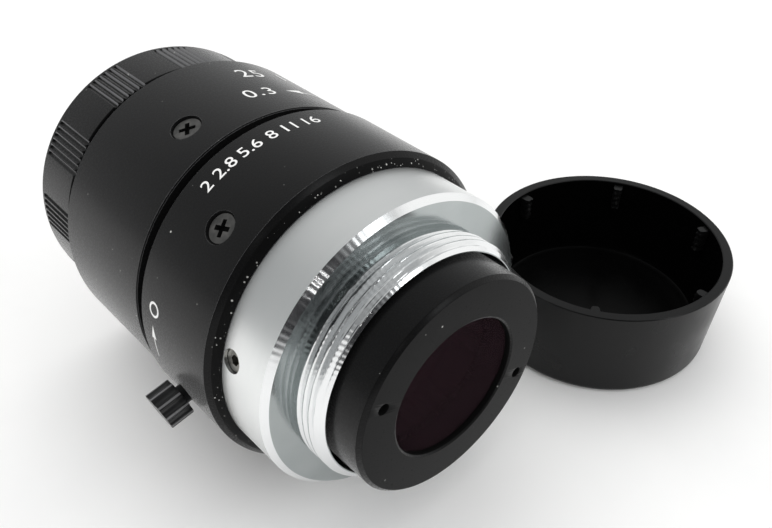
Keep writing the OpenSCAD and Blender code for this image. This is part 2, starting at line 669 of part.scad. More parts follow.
third_r0 = -14;
third_r1 = -20;
third_land = 1.12;
third_clear_r = rear_lens_r - third_land;
rear_r0 = 30;
rear_r1 = -52;
rear_t = 4.9;
rear_vertex_x = rear_t - lip_x;
rear_air_gap = 0.4;
third_t = 3.2;
third_rear_vertex_x = rear_vertex_x + rear_air_gap;
third_vertex_x = third_rear_vertex_x + third_t;
rear_clear_r = rear_opening_r - 2 * glass_gap;
spacer_in_r = rear_lens_r - spacer_w;

module third_lens() color("#4a3b52") lay_down() {
    front = [for (i = [0:arc_steps]) let (q = third_clear_r * i / arc_steps)
        [q, third_vertex_x - sag(third_r0, q)]];
    rear = [for (i = [arc_steps:-1:0]) let (q = rear_lens_r * i / arc_steps)
        [q, third_rear_vertex_x - sag(third_r1, q)]];
    turned(concat(front, [[rear_lens_r, third_vertex_x - sag(third_r0, third_clear_r)]], rear));
}

module rear_lens() color("#4a3b52") lay_down() {
    front = [for (i = [0:arc_steps]) let (q = rear_lens_r * i / arc_steps)
        [q, rear_vertex_x - sag(rear_r0, q)]];
    dome = [for (i = [arc_steps:-1:0]) let (q = rear_clear_r * i / arc_steps)
        [q, -lip_x + sag(rear_r1, rear_clear_r) - sag(rear_r1, q)]];
    turned(concat(front, [[rear_lens_r, -lip_x]], dome));
}

module rear_spacer() color("#1c1d1f") lay_down() turned([
    [spacer_in_r, third_rear_vertex_x - sag(third_r1, spacer_in_r)],
    [rear_lens_r, third_rear_vertex_x - sag(third_r1, rear_lens_r)],
    [rear_lens_r, rear_vertex_x - sag(rear_r0, rear_lens_r)],
    [spacer_in_r, rear_vertex_x - sag(rear_r0, spacer_in_r)]]);

module rear_retaining_ring() color("#1c1d1f") lay_down() {
    x0 = third_vertex_x - sag(third_r0, third_clear_r);
    turned([
        [third_clear_r, x0], [rear_lens_r, x0], [rear_lens_r, x0 + ring_t], [third_clear_r, x0 + ring_t]]);
}

mount_barrel();
set_screws();
main_barrel();
guide_pin();
rear_cap();
iris_ring();
iris_drive_screw();
iris_lock_screw();
focus_barrel();
grip_ring();
focus_barrel_screws();
focus_lock_screw();
lens_barrel();
front_lens();
front_retaining_ring();
second_lens();
front_spacer();
iris_base();
iris_cam_ring();
iris_snap_ring();
rear_cell();
third_lens();
rear_spacer();
rear_lens();
rear_retaining_ring();
iris_blade(1);  // iris_blade_1
iris_blade(2);  // iris_blade_2
iris_blade(3);  // iris_blade_3
iris_blade(4);  // iris_blade_4
iris_blade(5);  // iris_blade_5
iris_blade(6);  // iris_blade_6
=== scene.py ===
import math

import bpy
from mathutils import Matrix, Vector


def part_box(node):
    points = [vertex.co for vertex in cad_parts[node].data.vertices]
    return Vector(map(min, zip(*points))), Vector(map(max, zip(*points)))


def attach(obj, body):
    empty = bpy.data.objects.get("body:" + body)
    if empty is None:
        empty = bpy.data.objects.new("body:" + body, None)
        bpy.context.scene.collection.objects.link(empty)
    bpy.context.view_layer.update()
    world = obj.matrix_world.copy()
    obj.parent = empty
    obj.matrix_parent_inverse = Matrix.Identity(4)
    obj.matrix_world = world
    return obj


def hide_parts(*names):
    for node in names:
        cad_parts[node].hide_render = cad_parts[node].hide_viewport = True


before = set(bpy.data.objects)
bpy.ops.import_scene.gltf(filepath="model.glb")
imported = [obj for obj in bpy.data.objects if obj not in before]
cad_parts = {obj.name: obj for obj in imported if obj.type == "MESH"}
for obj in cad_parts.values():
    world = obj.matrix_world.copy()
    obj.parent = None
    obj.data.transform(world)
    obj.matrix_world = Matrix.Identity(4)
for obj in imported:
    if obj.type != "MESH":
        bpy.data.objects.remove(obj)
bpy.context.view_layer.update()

# The photograph's point of view: above the rear end of the lens, on the near side, looking down at
# the lens and at the cap beyond it.
bpy.ops.object.camera_add(
    location=(0.037148, -0.033667, 0.048976),
    rotation=(math.radians(46.9353), math.radians(-2.4573), math.radians(44.6823)),
)
camera = bpy.context.object
camera.data.sensor_width = 36
camera.data.lens = 34.3585
camera.data.shift_x = -0.09
camera.data.shift_y = 0.09
camera.data.clip_start = 0.002
camera.data.clip_end = 20
bpy.context.scene.camera = camera
bpy.context.scene.view_settings.view_transform = "Standard"

# The table that the lens lies on: a pale matt sheet with the faintest grey smudges. It carries the
# soft shadows of the lens and the cap.


def material(name, colour, rough, metal=0.0, shine=0.5):
    """A new material with one shader, and its node tree, shader and Object coordinates."""
    made = bpy.data.materials.new(name)
    made.use_nodes = True
    tree = made.node_tree
    shader = tree.nodes["Principled BSDF"]
    shader.inputs["Base Color"].default_value = (*colour, 1)
    shader.inputs["Roughness"].default_value = rough
    shader.inputs["Metallic"].default_value = metal
    shader.inputs["Specular IOR Level"].default_value = shine
    place = tree.nodes.new("ShaderNodeTexCoord")
    return made, tree, shader, place.outputs["Object"]


def noise(tree, where, scale, detail=3.0, stretch=(1, 1, 1)):
    """The value of a noise pattern, stretched along the axes by a Mapping node."""
    mapping = tree.nodes.new("ShaderNodeMapping")
    mapping.inputs["Scale"].default_value = stretch
    tree.links.new(where, mapping.inputs["Vector"])
    pattern = tree.nodes.new("ShaderNodeTexNoise")
    pattern.inputs["Scale"].default_value = scale
    pattern.inputs["Detail"].default_value = detail
    tree.links.new(mapping.outputs["Vector"], pattern.inputs["Vector"])
    return pattern.outputs["Fac"]


def spread(tree, value, low, high, to_low, to_high):
    """Maps a value's range low to high onto another range."""
    ranged = tree.nodes.new("ShaderNodeMapRange")
    for socket, number in (
        ("From Min", low), ("From Max", high), ("To Min", to_low), ("To Max", to_high),
    ):
        ranged.inputs[socket].default_value = number
    tree.links.new(value, ranged.inputs["Value"])
    return ranged.outputs["Result"]


def colours(tree, value, dark, light):
    """A colour between two, by a value from 0 to 1."""
    mixed = tree.nodes.new("ShaderNodeMix")
    mixed.data_type = "RGBA"
    for socket, colour in ((6, dark), (7, light)):
        mixed.inputs[socket].default_value = (*colour, 1)
    tree.links.new(value, mixed.inputs[0])
    return mixed.outputs[2]


floor_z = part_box("rear_cap")[0][2]
bpy.ops.object.select_all(action="DESELECT")
bpy.ops.mesh.primitive_plane_add(size=6, location=(0, 0, floor_z))
table = bpy.context.object
table.name = "table"
paper, tree, shader, where = material("table_white", (0.92, 0.92, 0.92), 0.7, shine=0.3)
smudge = spread(tree, noise(tree, where, 30.0, 4.0), 0.45, 0.75, 0.0, 1.0)
tree.links.new(colours(tree, smudge, (0.935, 0.935, 0.93), (0.88, 0.88, 0.88)),
               shader.inputs["Base Color"])
table.data.materials.append(paper)

# The room: even white light on the object and behind it. In the object's reflections it is a grey
# room with a bright ceiling, a white wall on the far side, and a dark place round the camera.
ROOM_GREY = (0.37, 0.38, 0.383)
CEILING, CEILING_WHITE = (-0.60, 0.48, 0.64), (0.62, 0.63, 0.63)
FAR_WALL, WALL_WHITE = (0.33, 0.86, 0.38), (1.05, 1.05, 1.04)
CAMERA_SIDE, CAMERA_DARK = (0.70, -0.50, 0.51), (0.02, 0.02, 0.022)
world = bpy.data.worlds.new("room")
bpy.context.scene.world = world
world.use_nodes = True
tree = world.node_tree
toward = tree.nodes.new("ShaderNodeTexCoord").outputs["Generated"]
room = None
for spot, start, full, light in (
    (CEILING, 0.58, 0.98, CEILING_WHITE),
    (FAR_WALL, 0.80, 0.92, WALL_WHITE),
    (CAMERA_SIDE, 0.72, 0.93, CAMERA_DARK),
):
    facing = tree.nodes.new("ShaderNodeVectorMath")
    facing.operation = "DOT_PRODUCT"
    facing.inputs[1].default_value = spot
    tree.links.new(toward, facing.inputs[0])
    near = spread(tree, facing.outputs["Value"], start, full, 0.0, 1.0)
    shade = colours(tree, near, ROOM_GREY, light)
    if room:
        tree.links.new(room, shade.node.inputs[6])
    room = shade
plain = tree.nodes["Background"]
plain.inputs["Color"].default_value = (1, 1, 1, 1)
plain.inputs["Strength"].default_value = 0.97
mirrored = tree.nodes.new("ShaderNodeBackground")
tree.links.new(room, mirrored.inputs["Color"])
shown = tree.nodes.new("ShaderNodeBackground")
shown.inputs["Color"].default_value = (1, 1, 1, 1)
path = tree.nodes.new("ShaderNodeLightPath")
out = plain
for ray, other in (("Is Glossy Ray", mirrored), ("Is Camera Ray", shown)):
    choice = tree.nodes.new("ShaderNodeMixShader")
    tree.links.new(path.outputs[ray], choice.inputs[0])
    tree.links.new(out.outputs[0], choice.inputs[1])
    tree.links.new(other.outputs[0], choice.inputs[2])
    out = choice
tree.links.new(out.outputs[0], tree.nodes["World Output"].inputs["Surface"])


def lamp(name, place, aim, width, depth, watts, colour=(1, 1, 1)):
    """A rectangular lamp at a place in metres, turned towards a point."""
    bpy.ops.object.light_add(type="AREA", location=place)
    made = bpy.context.object
    made.name = name
    made.data.shape = "RECTANGLE"
    made.data.size, made.data.size_y = width, depth
    made.data.energy = watts
    made.data.color = colour
    made.rotation_euler = (Vector(aim) - Vector(place)).to_track_quat("-Z", "Y").to_euler()


lamp("ceiling_light", (-0.26, 0.12, 0.50), (0, 0, 0), 0.60, 0.50, 0.9, (1.0, 0.995, 0.98))
bpy.context.object.visible_glossy = False
lamp("window_light", (0.36, 0.13, 0.29), (0, 0, 0), 0.13, 0.16, 0.18, (0.97, 0.99, 1.0))
lamp("strip_light", (0.375, -0.175, 0.255), (0.002, -0.008, 0.008), 0.022, 0.022, 0.02)

# Mount barrel: one turned piece of bright aluminium, with the flat flange that seats on the camera
# and the one-inch mount thread cut behind it. Three small threaded holes go through its wall.
MM = 0.001
BARREL_R, BORE_R, FLANGE_R = 15.7, 11.9, 15.15
BARREL_FRONT, BORE_FRONT = -7.5, -1.6
THREAD_R, PITCH, THREAD_END, STEP = 12.7, 25.4 / 32, 3.35, 0.03
SET_SCREW_PSI, SET_SCREW_X, SET_SCREW_R = 71.4, -4.8, 1.1
CHATTER_WAVES, CHATTER_SIDE = 150.0, math.radians(36)


def bump(tree, shader, value, depth):
    """Raises the surface by a value times a depth in metres."""
    raised = tree.nodes.new("ShaderNodeBump")
    raised.inputs["Strength"].default_value = 1.0
    raised.inputs["Distance"].default_value = depth
    tree.links.new(value, raised.inputs["Height"])
    tree.links.new(raised.outputs["Normal"], shader.inputs["Normal"])


def arithmetic(tree, kind, first, second, third=0.0):
    """A Math node: each input is a socket or a number."""
    step = tree.nodes.new("ShaderNodeMath")
    step.operation = kind
    for slot, given in enumerate((first, second, third)):
        if isinstance(given, (int, float)):
            step.inputs[slot].default_value = given
        else:
            tree.links.new(given, step.inputs[slot])
    return step.outputs[0]


def turned(name, outline, sides=240, about="X", centre=(0, 0, 0)):
    """Turned on a lathe: a ring at the outline's first point (place along the axis, radius, in mm),
    extruded and scaled from point to point, and back to the first."""
    bpy.ops.object.select_all(action="DESELECT")
    along = Vector((1, 0, 0)) if about == "X" else Vector((0, 0, 1))
    middle = Vector(centre) * MM
    start, radius = outline[0]
    bpy.ops.mesh.primitive_circle_add(
        vertices=sides, radius=radius * MM, fill_type="NOTHING",
        location=middle + along * start * MM,
        rotation=(0, math.pi / 2, 0) if about == "X" else (0, 0, 0),
    )
    piece = bpy.context.object
    piece.name = name
    bpy.ops.object.transform_apply(location=True, rotation=True, scale=True)
    bpy.ops.object.mode_set(mode="EDIT")
    bpy.ops.mesh.select_all(action="SELECT")
    for (here, r0), (there, r1) in zip(outline, outline[1:] + outline[:1]):
        bpy.ops.mesh.extrude_edges_move(
            TRANSFORM_OT_translate={"value": along * (there - here) * MM}
        )
        k = r1 / r0
        bpy.ops.transform.resize(
            value=(1, k, k) if about == "X" else (k, k, 1),
            center_override=middle + along * there * MM,
        )
    bpy.ops.mesh.select_all(action="SELECT")
    bpy.ops.mesh.remove_doubles(threshold=0.000002)
    bpy.ops.mesh.normals_make_consistent(inside=False)
    bpy.ops.object.mode_set(mode="OBJECT")
    return piece


def pick(*pieces):
    """Selects these pieces alone, and makes the first one active."""
    bpy.ops.object.select_all(action="DESELECT")
    for piece in pieces:
        piece.select_set(True)
    bpy.context.view_layer.objects.active = pieces[0]


def apply_modifiers(piece):
    """Makes a piece's modifiers part of its mesh, in their order."""
    pick(piece)
    for modifier in list(piece.modifiers):
        bpy.ops.object.modifier_apply(modifier=modifier.name)


def soften(piece, width, looks, segments=2, angle=28):
    """Gives a piece its materials, breaks its sharp edges by a width in mm, in the last of the
    materials, and smooths its round faces."""
    for look in looks:
        piece.data.materials.append(look)
    if width:
        worn = piece.modifiers.new("edges", "BEVEL")
        worn.width = width * MM
        worn.segments = segments
        worn.limit_method = "ANGLE"
        worn.angle_limit = math.radians(angle)
        worn.use_clamp_overlap = True
        worn.material = len(looks) - 1
    apply_modifiers(piece)
    bpy.ops.object.shade_smooth_by_angle(angle=math.radians(angle))
    if width:
        even = piece.modifiers.new("even", "WEIGHTED_NORMAL")
        even.keep_sharp = True
        even.weight = 80
        apply_modifiers(piece)


def outward(piece, psi, along):
    """Turns a piece that was made standing up on the axis to an angle round it, from the top
    towards the near side, and moves it along the axis, in mm."""
    pick(piece)
    piece.rotation_euler = (math.radians(psi), 0, 0)
    piece.location = (along * MM, 0, 0)
    bpy.ops.object.transform_apply(location=True, rotation=True, scale=True)


def cut_by(piece, tool):
    """Takes the tool's shape out of the piece."""
    cut = piece.modifiers.new("cut", "BOOLEAN")
    cut.operation = "DIFFERENCE"
    cut.solver = "EXACT"
    cut.object = tool
    apply_modifiers(piece)
    bpy.data.objects.remove(tool, do_unlink=True)


def drill(piece, psi, along, radius, low, high):
    """Drills a hole from outside, between two distances from the axis, all in mm."""
    bpy.ops.object.select_all(action="DESELECT")
    bpy.ops.mesh.primitive_cylinder_add(
        vertices=64, radius=radius * MM, depth=(high - low) * MM,
        location=(0, 0, (low + high) / 2 * MM),
    )
    bit = bpy.context.object
    bpy.ops.object.transform_apply(location=True, rotation=True, scale=True)
    outward(bit, psi, along)
    cut_by(piece, bit)


def finish(piece, node, body):
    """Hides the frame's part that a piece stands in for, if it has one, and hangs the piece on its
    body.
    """
    if node:
        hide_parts(node)
    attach(piece, body)


# The bare aluminium off the lathe: satin on the barrel, brighter on the thread and the flange's
# bevel, where a sharp tool chattered and left fine waves. The flange's flat face is painted a
# darker,
# bluish grey: painted shade and reflection of the dark thread beside it.
satin, tree, shader, where = material("turned_aluminium", (0.86, 0.87, 0.865), 0.34, 1.0)
turning = noise(tree, where, 1500.0, 3.0, (5.0, 0.03, 0.03))
tree.links.new(spread(tree, turning, 0.3, 0.7, 0.31, 0.38), shader.inputs["Roughness"])
tone = noise(tree, where, 130.0, 3.0, (2.0, 1.0, 1.0))
tree.links.new(colours(tree, tone, (0.82, 0.84, 0.835), (0.90, 0.905, 0.90)),
               shader.inputs["Base Color"])
bump(tree, shader, turning, 0.0000015)

tooled, tree, shader, where = material("tooled_aluminium", (0.86, 0.87, 0.875), 0.16, 1.0)
parts = tree.nodes.new("ShaderNodeSeparateXYZ")
tree.links.new(where, parts.inputs[0])
turn = arithmetic(tree, "ARCTAN2", parts.outputs["Y"], parts.outputs["Z"])
chatter = arithmetic(tree, "SINE", arithmetic(tree, "MULTIPLY", turn, CHATTER_WAVES), 0.0)
patch = spread(tree, noise(tree, where, 260.0, 2.0), 0.35, 0.6, 0.4, 1.0)
side = arithmetic(tree, "COSINE", arithmetic(tree, "ADD", turn, CHATTER_SIDE), 0.0)
strong = arithmetic(tree, "MULTIPLY", patch, spread(tree, side, 0.86, 0.97, 0.06, 1.0))
marks = arithmetic(tree, "MULTIPLY", chatter, strong)
turning = noise(tree, where, 2200.0, 3.0, (4.0, 0.05, 0.05))
bump(tree, shader, arithmetic(tree, "MULTIPLY_ADD", turning, 0.12, marks), 0.000005)
tree.links.new(spread(tree, noise(tree, where, 420.0, 3.0), 0.35, 0.65, 0.12, 0.24),
               shader.inputs["Roughness"])

# The flange face's colour is painted shade: a darker, bluish grey standing in for the dark thread
# it reflects.
flange_painted_shade, tree, shader, where = material("flange_aluminium_painted_shade", (0.58, 0.61, 0.61), 0.15, 1.0)
cloud = noise(tree, where, 300.0, 4.0)
tree.links.new(colours(tree, cloud, (0.38, 0.41, 0.41), (0.50, 0.53, 0.53)),
               shader.inputs["Base Color"])
bump(tree, shader, noise(tree, where, 2600.0, 3.0), 0.0000008)

# The thread is a row of fine rings along its length, each point then drawn in to the spiral's
# groove, with a relief behind the flange and a taper at the end.
zone = [(STEP * i, THREAD_R) for i in range(1, int(THREAD_END / STEP))]
mount = turned("mount_barrel_turned", [
    (BARREL_FRONT, 14.7), (BARREL_FRONT, BARREL_R), (-0.55, BARREL_R), (0, FLANGE_R), (0, 12.75),
    *zone, (THREAD_END, THREAD_R), (THREAD_END, BORE_R), (BORE_FRONT, BORE_R), (BORE_FRONT, 14.7),
], sides=288)
for vertex in mount.data.vertices:
    x, y, z = vertex.co / MM
    reach = math.hypot(y, z)
    if x > 0.01 and reach > 12.3:
        turn = (x / PITCH - math.atan2(z, y) / (2 * math.pi)) % 1
        crest = min(max((abs(2 * turn - 1) - 0.2) / 0.62, 0), 1)
        cut_r = THREAD_R - 0.52 * PITCH * (1 - crest)
        relief = 12.3 + 0.4 * min(max((x - 0.12) / 0.3, 0), 1)
        taper = THREAD_R - 0.7 * min(max((x - 2.75) / 0.6, 0), 1)
        k = min(cut_r, relief, taper) / reach
        vertex.co.y *= k
        vertex.co.z *= k
for i in range(3):
    drill(mount, SET_SCREW_PSI + 120 * i, SET_SCREW_X, SET_SCREW_R, 13, 17)
soften(mount, 0, (satin, tooled, flange_painted_shade), angle=24)
# The thread, the bevel and the hole walls take the tooled aluminium; the flange's flat face takes
# the painted-shade grey.
for face in mount.data.polygons:
    out = Vector((0, face.center.y, face.center.z)).normalized()
    hole = -6 * MM < face.center.x < -3.6 * MM and abs(face.normal.dot(out)) < 0.3
    if face.center.x > -0.54 * MM or hole:
        face.material_index = 2 if face.normal.x > 0.98 and face.center.x > -0.1 * MM else 1
finish(mount, "mount_barrel", "mount_body")

# Set screws: three small steel grub screws with a hexagon socket, sunk in the mount barrel's wall.
# They clamp it on the main barrel.
steel, tree, shader, where = material("screw_steel", (0.26, 0.255, 0.235), 0.35, 1.0)
bump(tree, shader, noise(tree, where, 3000.0), 0.000004)
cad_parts["set_screws"].data.materials.clear()
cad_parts["set_screws"].data.materials.append(steel)

# Iris ring: turned from aluminium and anodised black, the widest ring, with a cone behind it that
# covers the barrel's joint. Its drive screw and its lock screw go through holes in its wall.
IRIS_R, RING_BORE_R = 16.95, 15.05
IRIS_REAR, IRIS_FRONT, IRIS_SEAT_R = -6.0, -17.27, 15.88
BIT_FROM, BIT_TO = 14, 18
COUNTERBORE_R, SHANK_HOLE_R, LOCK_HOLE_R = 1.55, 0.82, 1.0
IRIS_SCREW_PSI, IRIS_SCREW_X = 38.5, -10.8
IRIS_LOCK_PSI, IRIS_LOCK_X = 102, -12.4
SPECK_SIZE, SPECK_COLOUR = 0.27, (0.5, 0.5, 0.48)


def specks(tree, where, scale, share):
    """Fine specks of dust: 1 on a speck and 0 beside it. Share is the share of cells with one."""
    cells = tree.nodes.new("ShaderNodeTexVoronoi")
    cells.inputs["Scale"].default_value = scale
    tree.links.new(where, cells.inputs["Vector"])
    parts = tree.nodes.new("ShaderNodeSeparateColor")
    tree.links.new(cells.outputs["Color"], parts.inputs[0])
    chosen = arithmetic(tree, "LESS_THAN", parts.outputs[0], share)
    size = arithmetic(tree, "MULTIPLY", parts.outputs[1], SPECK_SIZE)
    inside = arithmetic(tree, "LESS_THAN", cells.outputs["Distance"], size)
    pale = arithmetic(tree, "MULTIPLY", inside, parts.outputs[2])
    return arithmetic(tree, "MULTIPLY", chosen, pale)


# The anodised aluminium of the rings: deep black and satin, with fine turning marks round the axis
# and a few specks of dust. The dusty copy is also painted darker, as shade in gaps and recesses,
# and the lighter copy on edges and ridges is wear and a painted highlight.
blacks = []
for name, dark, light, rough, shine, sheen, scale, share in (
    ("anodised_black", 0.0035, 0.005, 0.27, 0.12, 0.3, 2300.0, 0.008),
    ("anodised_cell", 0.003, 0.0045, 0.3, 0.04, 0.18, 2300.0, 0.01),
    # Darker and dusty: dust, and painted shade in gaps and recesses.
    ("anodised_dust_and_painted_shade", 0.002, 0.0035, 0.38, 0.07, 0.05, 3000.0, 0.8),
    # Lighter: wear and painted highlight on edges and ridges.
    ("anodised_wear_and_painted_highlight", 0.09, 0.19, 0.35, 0.3, 0.0, 1600.0, 0.05),
):
    black, tree, shader, where = material(name, (dark, dark, dark), rough, shine=shine)
    cloud = noise(tree, where, 140.0, 4.0)
    plain = colours(tree, cloud, (dark, dark, dark * 1.06), (light, light, light * 1.02))
    dusty = colours(tree, specks(tree, where, scale, share), (0, 0, 0), SPECK_COLOUR)
    tree.links.new(plain, dusty.node.inputs[6])
    tree.links.new(dusty, shader.inputs["Base Color"])
    grain = noise(tree, where, 5200.0, 3.0)
    tree.links.new(spread(tree, grain, 0.3, 0.7, rough - 0.03, rough + 0.03),
                   shader.inputs["Roughness"])
    turning = noise(tree, where, 900.0, 2.0, (6.0, 0.05, 0.05))
    bump(tree, shader, arithmetic(tree, "MULTIPLY_ADD", turning, 0.4, grain), 0.0000007)
    shader.inputs["Sheen Weight"].default_value = sheen
    shader.inputs["Sheen Roughness"].default_value = 0.35
    blacks.append(black)
anodised, cell_black, dusty_painted_shade_black, wear_and_highlight_black = blacks

iris = turned("iris_ring_turned", [
    (IRIS_REAR, 15.75), (-6.5, 16.44), (-6.87, IRIS_R), (-17.15, IRIS_R), (IRIS_FRONT, 16.83),
    (IRIS_FRONT, RING_BORE_R), (-7.55, RING_BORE_R), (-7.55, 15.75)])
drill(iris, IRIS_SCREW_PSI, IRIS_SCREW_X, COUNTERBORE_R, IRIS_SEAT_R, BIT_TO)
drill(iris, IRIS_SCREW_PSI, IRIS_SCREW_X, SHANK_HOLE_R, BIT_FROM, BIT_TO)
drill(iris, IRIS_LOCK_PSI, IRIS_LOCK_X, LOCK_HOLE_R, BIT_FROM, BIT_TO)
# Broken edges take the lighter black, as wear and painted highlight. The rear cone takes the darker
# dusty black, as dust and as painted shade for the gap behind the ring.
soften(iris, 0.09, (anodised, dusty_painted_shade_black, wear_and_highlight_black))
for face in iris.data.polygons:
    out = Vector((0, face.center.y, face.center.z)).normalized()
    if face.normal.x > 0.3 and face.normal.dot(out) > 0.3 and face.center.x > -6.52 * MM:
        face.material_index = 1
finish(iris, "iris_ring", "iris_ring_body")

# Focus barrel: turned from aluminium and anodised black, held by three flush screws whose tips run
# in slots underneath. Its lock screw goes through the far side.
FOCUS_R, FOCUS_SEAT_R = 16.65, 15.58
FOCUS_REAR, FOCUS_FRONT, SPIGOT_END = -18.71, -32.81, -31.0
FOCUS_SCREW_PSI, FOCUS_SCREW_X = 20.2, -23.31
FOCUS_LOCK_PSI, FOCUS_LOCK_X = -125, -25.41
focus = turned("focus_barrel_turned", [
    (FOCUS_REAR, RING_BORE_R), (FOCUS_REAR, 16.53), (-18.83, FOCUS_R), (-32.56, FOCUS_R),
    (FOCUS_FRONT, 16.4), (FOCUS_FRONT, 15.27), (SPIGOT_END, 15.27), (SPIGOT_END, 14.35),
    (-28.2, 14.35), (-28.2, RING_BORE_R)])
for i in range(3):
    psi = FOCUS_SCREW_PSI + 120 * i
    drill(focus, psi, FOCUS_SCREW_X, COUNTERBORE_R, FOCUS_SEAT_R, BIT_TO)
    drill(focus, psi, FOCUS_SCREW_X, SHANK_HOLE_R, BIT_FROM, BIT_TO)
drill(focus, FOCUS_LOCK_PSI, FOCUS_LOCK_X, LOCK_HOLE_R, BIT_FROM, BIT_TO)
# Broken edges take the lighter black: wear and painted highlight.
soften(focus, 0.035, (anodised, wear_and_highlight_black))
finish(focus, "focus_barrel", "focus_ring")

# Grip ring: black anodised, with twelve groups of six fine grooves milled along it for the fingers.
# Each groove has one wall painted lighter, as wear and painted highlight. They stop short of the
# front edge, and end behind in a neck that is painted darker as shade and dusty.
GRIP_R, GRIP_FRONT, NECK_R, NECK_END = 15.6, -41.21, 15.25, -34.75
GROOVE_DEPTH, GROOVE_HALF, GROOVES_END = 0.2, 0.24, -40.6
GROUP_TURN, GROUP_PSI, GROOVE_TURN = 30, 21, 2.5
MM_PER_DEGREE = 0.2723
grip = turned("grip_ring_turned", [
    (SPIGOT_END, 14.75), (SPIGOT_END, NECK_R), (NECK_END, NECK_R), (NECK_END, 15.5),
    (-34.85, GRIP_R), (-40.5, GRIP_R), (-40.65, GRIP_R), (-40.96, GRIP_R), (GRIP_FRONT, 15.35),
    (GRIP_FRONT, 15.0), (-40.96, 14.75)], sides=1152)
for vertex in grip.data.vertices:
    x, y, z = vertex.co / MM
    reach = math.hypot(y, z)
    if reach > 15.45 and x > GROOVES_END:
        psi = math.degrees(math.atan2(-y, z))
        off = (psi - GROUP_PSI + GROUP_TURN / 2) % GROUP_TURN - GROUP_TURN / 2
        if abs(off) < 3 * GROOVE_TURN:
            side = abs((off / GROOVE_TURN + 1) % 1 - 0.5) * GROOVE_TURN * MM_PER_DEGREE
            depth = GROOVE_DEPTH * min(max(1.6 * (1 - side / GROOVE_HALF), 0), 1)
            bottom = GRIP_R - depth
            k = bottom / GRIP_R if reach > GRIP_R - 0.05 else min(1, bottom / reach)
            vertex.co.y *= k
            vertex.co.z *= k
soften(grip, 0, (anodised, wear_and_highlight_black, dusty_painted_shade_black), angle=22)
# Neck faces take the darker dusty black, as painted shade. One wall of each groove takes the
# lighter black, as wear and painted highlight.
for face in grip.data.polygons:
    psi = math.atan2(-face.center.y, face.center.z)
    worn_way = Vector((0, -math.cos(psi), -math.sin(psi)))
    if math.hypot(face.center.y, face.center.z) < 15.3 * MM and face.center.x > -34.8 * MM:
        face.material_index = 2
    elif face.normal.dot(worn_way) > 0.3:
        face.material_index = 1
finish(grip, "grip_ring", "focus_ring")

# Cross-head screws: blackened steel with flat round heads sunk in counterbores, with worn faces and
# cross recesses painted near black as shade. One drives the iris and three hold the focus barrel.
blackened, tree, shader, where = material("blackened_steel", (0.055, 0.055, 0.053), 0.42, 0.55)
wear = noise(tree, where, 1500.0, 4.0)
worn = spread(tree, wear, 0.35, 0.7, 0, 1)
tree.links.new(colours(tree, worn, (0.06, 0.06, 0.058), (0.115, 0.112, 0.108)),
               shader.inputs["Base Color"])
bump(tree, shader, wear, 0.000005)
# Near black for recesses and holes: painted shade.
painted_shade_black = material("painted_shade_black", (0.003, 0.003, 0.003), 0.7, shine=0.1)[0]
HEAD_R, HEAD_H, RECESS_R = 1.38, 0.8, 1.0
ARM_LENGTH, ARM_WIDTH, ARM_DEPTH, ARM_TAPER = 1.9, 0.5, 0.9, 0.7


def cross_screw(name, psi, along, top, tip_r, tip_end, cross_turn):
    """A flat-headed cross-head screw whose head ends at a distance top from the axis."""
    bpy.ops.object.select_all(action="DESELECT")
    bpy.ops.mesh.primitive_cylinder_add(
        vertices=72, radius=HEAD_R * MM, depth=HEAD_H * MM,
        location=(0, 0, (top - HEAD_H / 2) * MM))
    head = bpy.context.object
    head.name = name
    bpy.ops.object.transform_apply(location=True, rotation=True, scale=True)
    bpy.ops.object.mode_set(mode="EDIT")
    bpy.ops.mesh.select_all(action="DESELECT")
    bpy.ops.object.mode_set(mode="OBJECT")
    for face in head.data.polygons:
        face.select = face.normal.z < -0.9
    bpy.ops.object.mode_set(mode="EDIT")
    bpy.ops.mesh.select_mode(type="FACE")
    bpy.ops.mesh.inset(thickness=(HEAD_R - tip_r) * MM)
    bpy.ops.mesh.extrude_region_move(
        TRANSFORM_OT_translate={"value": (0, 0, (tip_end - top + HEAD_H) * MM)})
    bpy.ops.object.mode_set(mode="OBJECT")
    for quarter in (0, 1):
        bpy.ops.object.select_all(action="DESELECT")
        bpy.ops.mesh.primitive_cube_add(size=1, location=(0, 0, top * MM))
        arm = bpy.context.object
        arm.scale = (ARM_LENGTH * MM, ARM_WIDTH * MM, ARM_DEPTH * MM)
        arm.rotation_euler = (0, 0, math.radians(cross_turn + 90 * quarter))
        bpy.ops.object.transform_apply(location=True, rotation=True, scale=True)
        for corner in arm.data.vertices:
            if corner.co.z < (top - 0.2) * MM:
                corner.co.x *= ARM_TAPER
                corner.co.y *= ARM_TAPER
        cut_by(head, arm)
    head.data.materials.append(blackened)
    head.data.materials.append(painted_shade_black)
    # The walls of the cross recess are painted near black: painted shade.
    for face in head.data.polygons:
        inside = math.hypot(face.center.x, face.center.y) < RECESS_R * MM
        if inside and (top - 0.6) * MM < face.center.z < (top - 0.05) * MM:
            face.material_index = 1
    outward(head, psi, along)
    soften(head, 0.05, (), angle=28)
    return head


iris_screw = cross_screw("iris_ring_screw", IRIS_SCREW_PSI, IRIS_SCREW_X, 16.7, 0.6, 9.75, 20)
finish(iris_screw, "iris_drive_screw", "iris_ring_body")
heads = [
    cross_screw("focus_screw_%d" % (i + 1), FOCUS_SCREW_PSI + 120 * i, FOCUS_SCREW_X, 16.4, 0.8,
                14.1, 55)
    for i in range(3)]
pick(*heads)
bpy.ops.object.join()
finish(heads[0], "focus_barrel_screws", "focus_ring")

